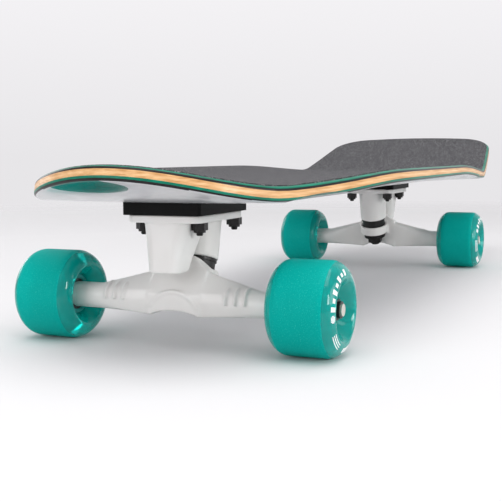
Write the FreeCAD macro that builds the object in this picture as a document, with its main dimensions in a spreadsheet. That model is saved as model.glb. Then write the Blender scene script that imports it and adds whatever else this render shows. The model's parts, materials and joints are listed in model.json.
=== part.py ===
"""Cruiser skateboard: laminated deck, two kingpin trucks and four urethane wheels.

Frame: origin on the ground under the middle of the deck, +X to the nose, +Z up, millimetres.
Each truck is drawn about its own axle: +X of the truck points away from the middle of the
board (pivot side), and the kingpin side faces the middle.
"""
import FreeCAD, Part
import math
import os
import Sketcher

Vector = FreeCAD.Vector
Placement = FreeCAD.Placement
Rotation = FreeCAD.Rotation

doc = FreeCAD.newDocument("skateboard")

SIZES = [
    ("deck_nose_end", 388.0),
    ("deck_tail_end", -388.0),
    ("deck_half_width", 122.0),
    ("nose_end_radius", 91.0),
    ("shoulder_start", 118.0),
    ("taper_start", -32.0),
    ("tail_half_width", 103.5),
    ("tail_corner_radius", 44.5),
    ("tail_end_half_angle", 9.0),
    ("deck_centre_top", 107.5),
    ("ply_thickness", 1.44),
    ("grip_thickness", 0.8),
    ("edge_round", 3.2),
    ("grip_inset", 2.2),
    ("nose_bend_start", 312.5),
    ("nose_bend_radius", 189.0),
    ("tail_bend_start", -239.8),
    ("tail_bend_radius", 86.0),
    ("tail_angle", 17.5),
    ("concave_depth", 9.8),
    ("concave_flat", 23.0),
    ("concave_nose_fade", 174.5),
    ("concave_tail_fade", -63.0),
    ("stand_strip_start", -140.0),
    ("stand_strip_length", 370.0),
    ("stand_strip_width", 40.0),
    ("stand_strip_raise", 0.05),
    ("well_radius", 255.0),
    ("well_depth", 3.9),
    ("front_well_rail", 99.0),
    ("rear_well_rail", 117.0),
    ("well_slope", 0.3),
    ("well_drum_length", 90.0),
    ("front_axle_station", 295.75),
    ("rear_axle_station", -208.75),
    ("axle_height", 31.0),
    ("axle_radius", 3.97),
    ("axle_half_length", 115.5),
    ("plate_top", 89.2),
    ("plate_thickness", 5.0),
    ("plate_half_width", 27.0),
    ("plate_outer", 22.4),
    ("plate_inner", 48.8),
    ("plate_corner", 7.0),
    ("pad_half_width", 28.5),
    ("pad_outer", 23.8),
    ("pad_inner", 50.2),
    ("pad_thickness", 6.5),
    ("pad_corner", 2.0),
    ("shim_thickness", 1.72),
    ("bolt_outer", 8.77),
    ("bolt_inner", 45.21),
    ("bolt_side", 20.64),
    ("bolt_radius", 2.4),
    ("bolt_hole_radius", 2.7),
    ("bolt_head_radius", 4.6),
    ("bolt_head_depth", 2.6),
    ("bolt_tip", 75.6),
    ("nut_flat", 9.5),
    ("nut_depth", 5.0),
    ("nut_collar_depth", 1.6),
    ("nut_collar_radius", 4.0),
    ("nut_room_radius", 5.9),
    ("pivot_out", 13.0),
    ("pivot_height", 61.0),
    ("pivot_ball_radius", 5.6),
    ("pivot_ball_gap", 0.3),
    ("cup_radius", 8.0),
    ("cup_depth", 7.2),
    ("cup_mouth", 5.5),
    ("boss_top_outer", 21.0),
    ("boss_top_inner", 16.0),
    ("boss_top_half_width", 17.0),
    ("boss_top_corner", 9.0),
    ("boss_low_outer", 24.6),
    ("boss_low_inner", -3.0),
    ("boss_low_half_width", 11.2),
    ("boss_low_corner", 7.0),
    ("boss_low_height", 51.5),
    ("ring_in", 25.0),
    ("ring_height", 44.4),
    ("kingpin_tilt", 18.0),
    ("kingpin_radius", 4.76),
    ("kingpin_hole_radius", 4.9),
    ("kingpin_head_radius", 7.6),
    ("kingpin_head_depth", 5.0),
    ("kingpin_head_start", 44.5),
    ("kingpin_tail", 19.6),
    ("kingpin_boss_gap", 12.4),
    ("kingpin_boss_low_radius", 14.5),
    ("kingpin_boss_top_radius", 15.0),
    ("kingpin_boss_length", 60.0),
    ("kingpin_boss_lean", 12.0),
    ("boss_room_radius", 16.8),
    ("web_reach", 24.0),
    ("web_width", 12.0),
    ("web_height", 14.0),
    ("cup_open", 22.0),
    ("washer_thickness", 1.2),
    ("washer_lip", 0.8),
    ("washer_lip_width", 0.7),
    ("upper_washer_radius", 13.4),
    ("lower_washer_radius", 12.0),
    ("bushing_hole_radius", 5.2),
    ("upper_bushing_radius", 12.5),
    ("upper_bushing_length", 9.1),
    ("lower_bushing_radius", 12.2),
    ("lower_bushing_small_radius", 10.9),
    ("lower_bushing_length", 7.2),
    ("seat_web_half", 2.0),
    ("ring_top", 4.5),
    ("ring_bottom", 5.0),
    ("ring_radius", 15.6),
    ("ring_seat_radius", 12.8),
    ("ring_hole_radius", 6.4),
    ("washer_room_radius", 14.3),
    ("washer_room_start", 5.2),
    ("washer_room_length", 9.0),
    ("kingpin_nut_flat", 14.3),
    ("kingpin_nut_depth", 6.8),
    ("barrel_end", 81.55),
    ("barrel_radius", 8.9),
    ("arm_root", 17.0),
    ("body_front", 9.0),
    ("body_front_top", 36.0),
    ("body_neck_out", 4.5),
    ("body_neck_height", 53.5),
    ("body_top_back", 12.0),
    ("body_back_height", 46.0),
    ("body_back", 9.5),
    ("bridge_width", 26.0),
    ("bridge_height", 9.0),
    ("bridge_base", 37.0),
    ("crest_radius", 20.0),
    ("crest_round", 1.5),
    ("crest_sweep", 124.0),
    ("crest_out", 8.3),
    ("crest_height", 17.5),
    ("arm_tip", 60.0),
    ("body_bottom", 21.0),
    ("body_arch_height", 24.8),
    ("body_shoulder", 20.0),
    ("body_shoulder_height", 51.0),
    ("body_peak_half_span", 8.0),
    ("body_peak_height", 60.5),
    ("stem_radius", 5.0),
    ("stem_length", 16.5),
    ("stem_root_radius", 9.0),
    ("stem_root_length", 12.0),
    ("stem_root_start", 27.5),
    ("rib_radius", 1.2),
    ("rib_ring_radius", 10.0),
    ("rib_first", 38.5),
    ("rib_pitch", 6.8),
    ("wheel_offset", 94.35),
    ("wheel_radius", 31.0),
    ("wheel_width", 46.5),
    ("wheel_lip", 11.0),
    ("hub_radius", 13.6),
    ("hub_half_length", 13.4),
    ("hub_stop_radius", 9.2),
    ("hub_stop_half", 5.0),
    ("spoke_width", 2.6),
    ("spoke_half_length", 8.5),
    ("hoop_inner", 18.4),
    ("hoop_outer", 20.0),
    ("hoop_half_length", 10.0),
    ("bearing_radius", 11.0),
    ("bearing_width", 7.0),
    ("bearing_race_radius", 9.3),
    ("bearing_inner_radius", 6.1),
    ("shield_recess", 0.3),
    ("bearing_gap", 0.08),
    ("bearing_shield", 0.5),
    ("ball_radius", 1.3),
    ("ball_circle", 7.75),
    ("cage_half_width", 0.9),
    ("cage_half_thickness", 0.35),
    ("spacer_radius", 5.2),
    ("speed_washer_radius", 6.0),
    ("speed_washer_thickness", 0.8),
    ("axle_nut_flat", 12.7),
    ("axle_nut_depth", 5.0),
    ("axle_nut_collar_depth", 2.2),
    ("axle_nut_collar_radius", 5.4),
]

size = doc.addObject("Spreadsheet::Sheet", "Size")
for row, (alias, number) in enumerate(SIZES, start=1):
    size.set("A%d" % row, alias)
    size.set("B%d" % row, repr(number))
    size.setAlias("B%d" % row, alias)
doc.recompute()

PIECES = []
TRUCKS = (("front", "front_axle_station", 0.0), ("rear", "rear_axle_station", 180.0))


def val(alias):
    """Read one named size from the sheet."""
    return float(size.get(alias))


def bind(item, bindings):
    """Tie properties of a document object to expressions on the sheet."""
    for name, expression in bindings.items():
        item.setExpression(name, expression)


def sized(text):
    """Prefix every size name in an expression with the sheet's name."""
    names = {alias for alias, number in SIZES}
    words = text.replace("(", " ( ").replace(")", " ) ").split()
    spaced = " ".join("Size." + word if word in names else word for word in words)
    return spaced.replace("sin (", "sin(").replace("cos (", "cos(")


def put(item, x="0", y="0", z="0", axis=None, angle=0.0):
    """Place an object: the base point is bound to the sheet, the turn is set in degrees."""
    turn = Rotation(axis, angle) if axis is not None else Rotation()
    item.Placement = Placement(Vector(0, 0, 0), turn)
    for name, text in (("x", x), ("y", y), ("z", z)):
        if text != "0":
            item.setExpression("Placement.Base." + name, sized(text))
    return item


def cylinder(name, radius, height):
    item = doc.addObject("Part::Cylinder", name)
    bind(item, {"Radius": sized(radius), "Height": sized(height)})
    return item


def cone(name, low, high, height):
    item = doc.addObject("Part::Cone", name)
    bind(item, {"Radius1": sized(low), "Radius2": sized(high), "Height": sized(height)})
    return item


def box(name, length, width, height):
    item = doc.addObject("Part::Box", name)
    bind(item, {"Length": sized(length), "Width": sized(width), "Height": sized(height)})
    return item


def sphere(name, radius):
    item = doc.addObject("Part::Sphere", name)
    bind(item, {"Radius": sized(radius)})
    return item


def hexagon(name, flat, height):
    """Hexagonal prism with the given size across its flats."""
    item = doc.addObject("Part::Prism", name)
    item.Polygon = 6
    bind(item, {"Circumradius": sized(flat + " / 1.7320508"), "Height": sized(height)})
    return item


def fuse(name, items):
    item = doc.addObject("Part::MultiFuse", name)
    item.Shapes = items
    return item


def cut(name, base, tool):
    item = doc.addObject("Part::Cut", name)
    item.Base = base
    item.Tool = tool
    return item


def common(name, base, tool):
    item = doc.addObject("Part::Common", name)
    item.Base = base
    item.Tool = tool
    return item


def group(name, items):
    """Several separate solids kept side by side in one piece."""
    item = doc.addObject("Part::Compound", name)
    item.Links = items
    return item


def piece(item, label):
    """Name a finished sub-part; its label is also its file name."""
    item.Label = label
    PIECES.append(item)
    return item


def closed_sketch(name, segments, placement):
    """A sketch of lines and three-point arcs; each segment is (points...)."""
    sketch = doc.addObject("Sketcher::SketchObject", name)
    sketch.Placement = placement
    for points in segments:
        flat = [Vector(p[0], p[1], 0) for p in points]
        if len(flat) == 2:
            sketch.addGeometry(Part.LineSegment(flat[0], flat[1]), False)
        else:
            sketch.addGeometry(Part.Arc(flat[0], flat[1], flat[2]), False)
    return sketch


def extrusion(name, sketch, length, both=False):
    item = doc.addObject("Part::Extrusion", name)
    item.Base = sketch
    item.DirMode = "Normal"
    item.Solid = True
    item.Symmetric = both
    item.setExpression("LengthFwd", sized(length))
    return item


# ---------------------------------------------------------------- deck shape

def smooth(amount):
    amount = min(max(amount, 0.0), 1.0)
    return amount * amount * (3.0 - 2.0 * amount)


def deck_top(x, y):
    """Height of the top veneer: flat middle, upturned nose, kicked tail and raised rails."""
    height = val("deck_centre_top")
    ahead = max(x - val("nose_bend_start"), 0.0)
    nose_radius = val("nose_bend_radius")
    height += nose_radius - math.sqrt(nose_radius ** 2 - ahead ** 2)
    behind = max(val("tail_bend_start") - x, 0.0)
    tail_radius = val("tail_bend_radius")
    angle = math.radians(val("tail_angle"))
    bend = min(behind, tail_radius * math.sin(angle))
    height += tail_radius - math.sqrt(tail_radius ** 2 - bend ** 2)
    height += (behind - bend) * math.tan(angle)
    nose_start = val("concave_nose_fade")
    nose_fade = smooth((x - nose_start) / (val("deck_nose_end") - nose_start))
    tail_start = val("concave_tail_fade")
    tail_fade = smooth((tail_start - x) / (tail_start - val("deck_tail_end") - 60.0))
    depth = val("concave_depth") * (1.0 - nose_fade) * (1.0 - tail_fade)
    flat = val("concave_flat")
    lift = max(abs(y) - flat, 0.0) / (val("deck_half_width") - flat)
    return height + depth * lift ** 2


def deck_point(x, y, depth):
    """Point at a depth measured square to the top veneer."""
    step = 0.5
    slope_x = (deck_top(x + step, y) - deck_top(x - step, y)) / (2 * step)
    slope_y = (deck_top(x, y + step) - deck_top(x, y - step)) / (2 * step)
    scale = depth / math.sqrt(1.0 + slope_x ** 2 + slope_y ** 2)
    return Vector(x + slope_x * scale, y + slope_y * scale, deck_top(x, y) - scale)


def deck_surface(depth):
    """Smooth surface parallel to the top veneer, larger than the outline."""
    stations = [-400.0 + 10.0 * i for i in range(81)]
    sides = [-135.0 + 15.0 * i for i in range(19)]
    surface = Part.BSplineSurface()
    surface.interpolate([[deck_point(x, y, depth) for y in sides] for x in stations])
    return surface


def slab(upper, lower):
    """Closed solid between two parallel deck surfaces."""
    def borders(surface):
        u0, u1, v0, v1 = surface.bounds()
        return [surface.uIso(u0).toShape(), surface.vIso(v1).toShape(),
                surface.uIso(u1).toShape(), surface.vIso(v0).toShape()]
    sides = [Part.makeRuledSurface(a, b) for a, b in zip(borders(upper), borders(lower))]
    shell = Part.makeShell([upper.toShape(), lower.toShape()] + sides)
    shell.sewShape()
    solid = Part.makeSolid(shell)
    if solid.Volume < 0:
        solid.reverse()
    return solid


def outline_segments(inset):
    """Deck outline as tangent arcs, drawn inside the edge by the given inset."""
    nose, tail = val("deck_nose_end"), val("deck_tail_end")
    half = val("deck_half_width")
    tip = val("nose_end_radius")
    shoulder_x = val("shoulder_start")
    reach = nose - tip - shoulder_x
    shoulder = (reach ** 2 + half ** 2 - tip ** 2) / (2 * (half - tip))
    meet = math.atan2(shoulder - half, reach)
    corner = val("tail_corner_radius")
    taper_x = val("taper_start")
    end_angle = math.radians(val("tail_end_half_angle"))
    drop = half - val("tail_half_width")
    corner_x = tail + corner
    for step in range(6):
        run = taper_x - corner_x
        taper = (run ** 2 + drop ** 2) / (2 * drop)
        lean = math.asin(run / taper)
        centre_y = half - drop - corner * math.cos(lean)
        centre_x = tail + corner + centre_y * math.tan(end_angle / 2)
        corner_x = centre_x - corner * math.sin(lean)
    tip_at = (nose - tip, 0.0)
    shoulder_at = (shoulder_x, half - shoulder)
    taper_at = (taper_x, half - taper)
    corner_at = (centre_x, centre_y)
    end_radius = corner + centre_y / math.sin(end_angle)
    end_at = (tail + end_radius, 0.0)
    quarter = math.pi / 2

    def arc(centre, radius, first, last):
        angles = (first, (first + last) / 2, last)
        return tuple((centre[0] + (radius - inset) * math.cos(angle),
                      centre[1] + (radius - inset) * math.sin(angle)) for angle in angles)
    upper = [
        arc(shoulder_at, shoulder, meet, quarter),
        ((shoulder_x, half - inset), (taper_x, half - inset)),
        arc(taper_at, taper, quarter, quarter + lean),
        arc(corner_at, corner, quarter + lean, math.pi - end_angle),
    ]
    lower = [tuple((x, -y) for x, y in points) for points in upper]
    ends = [
        arc(tip_at, tip, -meet, meet),
        arc(end_at, end_radius, math.pi - end_angle, math.pi + end_angle),
    ]
    return upper + lower + ends


def outline_prism(name, inset, hole_radius):
    """Upright prism of the deck outline with the eight bolt holes left open."""
    sketch = closed_sketch(name + "_outline", outline_segments(inset), Placement())
    for end, station, turn in TRUCKS:
        away = 1.0 if end == "front" else -1.0
        for reach in (val("bolt_outer"), -val("bolt_inner")):
            for side in (val("bolt_side"), -val("bolt_side")):
                centre = Vector(val(station) + away * reach, side, 0)
                sketch.addGeometry(Part.Circle(centre, Vector(0, 0, 1), hole_radius), False)
    return extrusion(name + "_prism", sketch, "deck_centre_top * 2")


def code_shape(name, shape):
    """Holder for a shape that no parametric feature can make."""
    item = doc.addObject("Part::Feature", name)
    item.Shape = shape
    return item


# ---------------------------------------------------------------- deck fasteners

BOLT_SPOTS = []
for end, station, turn in TRUCKS:
    sign = "+" if end == "front" else "-"
    back = "-" if end == "front" else "+"
    for row, spot in (("outer", station + " " + sign + " bolt_outer"),
                      ("inner", station + " " + back + " bolt_inner")):
        for side, offset in (("left", "bolt_side"), ("right", "- bolt_side")):
            BOLT_SPOTS.append(("_".join((end, row, side)), spot, offset))


bolts = []
for name, spot, offset in BOLT_SPOTS:
    top = "deck_centre_top + grip_thickness"
    shank = cylinder("bolt_shank_" + name, "bolt_radius", top + " - bolt_tip")
    put(shank, spot, offset, "bolt_tip")
    head = cone("bolt_head_" + name, "bolt_radius", "bolt_head_radius", "bolt_head_depth")
    put(head, spot, offset, top + " - bolt_head_depth")
    bolts.append(fuse("bolt_" + name, [shank, head]))
piece(group("deck_bolt_set", bolts), "deck_bolts")

nuts = []
for name, spot, offset in BOLT_SPOTS:
    seat = "plate_top - plate_thickness"
    body = put(hexagon("nut_hex_" + name, "nut_flat", "nut_depth"), spot, offset,
               seat + " - nut_depth")
    collar = put(cylinder("nut_collar_" + name, "nut_collar_radius", "nut_collar_depth"),
                 spot, offset, seat + " - nut_depth - nut_collar_depth")
    thread = put(cylinder("nut_thread_" + name, "bolt_radius", "nut_depth * 2"),
                 spot, offset, seat + " - nut_depth * 1.6")
    nuts.append(cut("nut_" + name, fuse("nut_solid_" + name, [body, collar]), thread))
piece(group("deck_nut_set", nuts), "deck_nuts")


# ---------------------------------------------------------------- deck veneers and grip

VENEERS = ("ply_top_green", "ply_upper_black", "core_upper_maple", "core_cross_maple",
           "core_lower_maple", "ply_lower_green", "ply_bottom_black")
RELIEVED = VENEERS[4:]

wells = []
for end, station, turn in TRUCKS:
    for side, sign in (("left", 1.0), ("right", -1.0)):
        rail = val(end + "_well_rail")
        slope = val("well_slope")
        x = val(station)
        under = deck_top(x, rail) - len(VENEERS) * val("ply_thickness")
        axis = Vector(0, math.cos(slope) * sign, math.sin(slope))
        crest = Vector(x, rail * sign, under + val("well_depth"))
        down = Vector(0, math.sin(slope) * sign, -math.cos(slope))
        start = crest + down * val("well_radius") - axis * val("well_drum_length") / 2
        drum = cylinder("_".join(("well", end, side)), "well_radius", "well_drum_length")
        drum.Placement = Placement(start, Rotation(Vector(0, 0, 1), axis))
        wells.append(drum)
well_drums = group("wheel_wells", wells)

round_edge = val("edge_round")
surfaces = [deck_surface(val("ply_thickness") * level) for level in range(len(VENEERS) + 1)]
stack = val("ply_thickness") * len(VENEERS)
for level, label in enumerate(VENEERS):
    middle = val("ply_thickness") * (level + 0.5)
    edge = min(middle, stack - middle)
    inset = 0.0
    if edge < round_edge:
        inset = round_edge - math.sqrt(round_edge ** 2 - (round_edge - edge) ** 2)
    hole = val("bolt_head_radius") + 0.05 if level == 0 else val("bolt_hole_radius")
    blank = code_shape(label + "_sheet", slab(surfaces[level], surfaces[level + 1]))
    trimmed = common(label + "_trimmed", blank, outline_prism(label, inset, hole))
    if label in RELIEVED:
        trimmed = cut(label + "_relieved", trimmed, well_drums)
    piece(trimmed, label)

grip_sheet = code_shape("grip_sheet", slab(deck_surface(-val("grip_thickness")), surfaces[0]))
grip_hole = val("bolt_head_radius") + 0.05
grip_trimmed = common("grip_trimmed", grip_sheet,
                      outline_prism("grip", val("grip_inset"), grip_hole))
strip = box("stand_strip", "stand_strip_length", "stand_strip_width",
            "grip_thickness + stand_strip_raise")
put(strip, "stand_strip_start", "- stand_strip_width / 2", "deck_centre_top")
piece(fuse("grip_whole", [grip_trimmed, strip]), "grip_tape")


# ---------------------------------------------------------------- trucks

UPRIGHT = Vector(0, 1, 0)
steer_rise = val("pivot_height") - val("ring_height")
steer_run = val("pivot_out") + val("ring_in")
STEER = math.degrees(math.atan2(steer_rise, steer_run))
TILT = val("kingpin_tilt")


def on_kingpin(item, distance, upward=False):
    """Stand an object on the kingpin axis; distance runs down from the ring's centre."""
    angle = -TILT if upward else 180.0 - TILT
    return put(item, "- ring_in + ( %s ) * sin( kingpin_tilt * 1 deg )" % distance, "0",
               "ring_height - ( %s ) * cos( kingpin_tilt * 1 deg )" % distance, UPRIGHT, angle)


def on_pivot(item, distance):
    """Stand an object on the steering axis; distance runs outward from the pivot ball."""
    reach = math.radians(STEER)
    item.Placement = Placement(Vector(val("pivot_out") + distance * math.cos(reach), 0,
                                      val("pivot_height") + distance * math.sin(reach)),
                               Rotation(UPRIGHT, 90.0 - STEER))
    return item


def across(item, start):
    """Lay an object along Y on the axle line, starting at the given side position."""
    return put(item, "0", start, "axle_height", Vector(1, 0, 0), -90.0)


def rounded_rectangle(low_x, high_x, half_y, corner):
    """Closed outline of four lines and four corner arcs."""
    lines, arcs = [], []
    corners = ((high_x, half_y, 0), (low_x, half_y, 90), (low_x, -half_y, 180),
               (high_x, -half_y, 270))
    ends = []
    for x, y, first in corners:
        centre = (x - corner if x == high_x else x + corner,
                  y - corner if y > 0 else y + corner)
        points = []
        for angle in (first, first + 45, first + 90):
            reach = math.radians(angle)
            points.append((centre[0] + corner * math.cos(reach),
                           centre[1] + corner * math.sin(reach)))
        arcs.append(tuple(points))
        ends.append((points[0], points[2]))
    for index in range(4):
        lines.append((ends[index][1], ends[(index + 1) % 4][0]))
    order = []
    for index in range(4):
        order.append(arcs[index])
        order.append(lines[index])
    return order


def level_sketch(name, segments, height):
    return closed_sketch(name, segments, Placement(Vector(0, 0, height), Rotation()))


def side_sketch(name, segments):
    """Sketch in the truck's XZ plane: first coordinate X, second Z."""
    return closed_sketch(name, segments,
                         Placement(Vector(0, 0, 0), Rotation(Vector(1, 0, 0), 90)))


def front_sketch(name, segments):
    """Sketch in the truck's YZ plane: first coordinate Y, second Z."""
    turn = Rotation(Vector(0, 0, 1), 90).multiply(Rotation(Vector(1, 0, 0), 90))
    return closed_sketch(name, segments, Placement(Vector(0, 0, 0), turn))


def chain(points):
    """Closed chain of straight segments through the given points."""
    return [(points[index], points[(index + 1) % len(points)]) for index in range(len(points))]


def bolt_tool(prefix):
    """The four clearance holes of one truck, drawn about its own axle, with room for nuts."""
    tools = []
    for row, spot in (("outer", "bolt_outer"), ("inner", "- bolt_inner")):
        for side, offset in (("left", "bolt_side"), ("right", "- bolt_side")):
            tool = cylinder("_".join((prefix, row, side)), "bolt_hole_radius", "40")
            tools.append(put(tool, spot, offset, "plate_top - 15"))
            room = cylinder("_".join((prefix, row, side, "room")), "nut_room_radius",
                            "nut_depth * 2")
            tools.append(put(room, spot, offset, "plate_top - plate_thickness - nut_depth * 2"))
    return fuse(prefix, tools)


def pad(name, base, thickness, holes):
    outline = rounded_rectangle(-val("pad_inner"), val("pad_outer"), val("pad_half_width"),
                                val("pad_corner"))
    sketch = closed_sketch(name + "_outline", outline, Placement())
    put(sketch, "0", "0", base)
    return cut(name + "_drilled", extrusion(name + "_blank", sketch, thickness), holes)


def make_baseplate(end, holes):
    name = end + "_plate"
    outline = rounded_rectangle(-val("plate_inner"), val("plate_outer"),
                                val("plate_half_width"), val("plate_corner"))
    flange_sketch = closed_sketch(name + "_outline", outline, Placement())
    put(flange_sketch, "0", "0", "plate_top - plate_thickness")
    flange = extrusion(name + "_flange", flange_sketch, "plate_thickness")
    boss_top = level_sketch(name + "_boss_top", rounded_rectangle(
        -val("boss_top_inner"), val("boss_top_outer"), val("boss_top_half_width"),
        val("boss_top_corner")), val("plate_top") - val("plate_thickness") + 1.0)
    boss_low = level_sketch(name + "_boss_low", rounded_rectangle(
        -val("boss_low_inner"), val("boss_low_outer"), val("boss_low_half_width"),
        val("boss_low_corner")), val("boss_low_height"))
    pivot_boss = doc.addObject("Part::Loft", name + "_pivot_boss")
    pivot_boss.Sections = [boss_top, boss_low]
    pivot_boss.Solid = True
    pivot_boss.Ruled = True
    column = cone(name + "_column", "kingpin_boss_low_radius", "kingpin_boss_top_radius",
                  "kingpin_boss_length")
    base = val("kingpin_boss_gap") - 7.0
    column.Placement = Placement(
        Vector(-val("ring_in") - base * math.sin(math.radians(TILT)), 0,
               val("ring_height") + base * math.cos(math.radians(TILT))),
        Rotation(UPRIGHT, -val("kingpin_boss_lean")))
    foot = on_kingpin(cylinder(name + "_foot", "30", "40"), "- kingpin_boss_gap")
    sky = box(name + "_sky", "200", "200", "60")
    put(sky, "-100", "-100", "plate_top")
    kingpin_boss = cut(name + "_kingpin_boss", cut(name + "_column_low", column, foot), sky)
    web = box(name + "_web", "web_reach", "web_width", "web_height")
    put(web, "- ring_in", "- web_width / 2", "plate_top - plate_thickness - web_height + 1")
    solid = fuse(name + "_solid", [flange, pivot_boss, kingpin_boss, web])
    shank_hole = on_kingpin(cylinder(name + "_shank_hole", "kingpin_hole_radius", "80"),
                            "-60")
    head_room = on_kingpin(cylinder(name + "_head_room", "kingpin_head_radius + 0.4", "40"),
                           "- kingpin_head_start + kingpin_head_depth", True)
    cup_bore = on_pivot(cylinder(name + "_cup_bore", "cup_radius", "cup_depth + cup_open"),
                        -val("cup_open"))
    tools = fuse(name + "_tools", [holes, shank_hole, head_room, cup_bore])
    return cut(name + "_cast", solid, tools)


def make_cup(end):
    name = end + "_cup"
    outer = on_pivot(cylinder(name + "_outer", "cup_radius", "cup_depth + cup_mouth"),
                     -val("cup_mouth"))
    socket = sphere(name + "_socket", "pivot_ball_radius + pivot_ball_gap")
    on_pivot(socket, 0.0)
    mouth = on_pivot(cylinder(name + "_mouth", "pivot_ball_radius + pivot_ball_gap",
                              "cup_mouth + 2"), -val("cup_mouth") - 2.0)
    return cut(name + "_moulded", outer, fuse(name + "_room", [socket, mouth]))


def make_kingpin(end):
    name = end + "_pin"
    shank = on_kingpin(cylinder(name + "_shank", "kingpin_radius",
                                "kingpin_head_start + kingpin_tail"), "- kingpin_head_start")
    head = on_kingpin(cylinder(name + "_head", "kingpin_head_radius", "kingpin_head_depth"),
                      "- kingpin_head_start")
    return fuse(name + "_forged", [shank, head])


def cup_washer(name, radius, start, lip_up):
    """Dished washer: a flat ring with a raised lip that holds the bushing."""
    disc = on_kingpin(cylinder(name + "_disc", radius, "washer_thickness"), start)
    lip_from = start + (" - washer_lip" if lip_up else " + washer_thickness")
    lip = on_kingpin(cylinder(name + "_lip", radius, "washer_lip"), lip_from)
    hollow = on_kingpin(cylinder(name + "_hollow", radius + " - washer_lip_width",
                                 "washer_lip"), lip_from)
    bore = on_kingpin(cylinder(name + "_bore", "kingpin_radius", "20"), start + " - 10")
    ring = cut(name + "_rim", lip, hollow)
    return cut(name + "_pressed", fuse(name + "_solid", [disc, ring]), bore)


def arm_section(name, station):
    """Six-sided section of the hanger where an arm leaves the body."""
    front, back = val("body_front"), val("body_back")
    low, top = val("body_bottom"), val("body_shoulder_height")
    knee = val("body_front_top")
    corners = [(1.0 - back, low), (front - 1.0, low), (front, val("axle_height")),
               (front - 1.0, knee + 2.0), (-val("body_neck_out"), top),
               (-val("body_top_back"), top - 2.0)]
    return closed_sketch(name, chain(corners), Placement(
        Vector(0, station, 0), Rotation(Vector(1, 0, 0), 90)))


def barrel_section(name, station):
    """Round section at an arm's tip, split into six arcs that face the root's six sides."""
    radius, height = val("barrel_radius"), val("axle_height")
    splits = [225.0, 315.0, 360.0, 405.0, 460.0, 510.0, 585.0]
    arcs = []
    for first, last in zip(splits, splits[1:]):
        arcs.append(tuple((radius * math.cos(math.radians(angle)),
                           height + radius * math.sin(math.radians(angle)))
                          for angle in (first, (first + last) / 2, last)))
    return closed_sketch(name, arcs, Placement(
        Vector(0, station, 0), Rotation(Vector(1, 0, 0), 90)))


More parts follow.
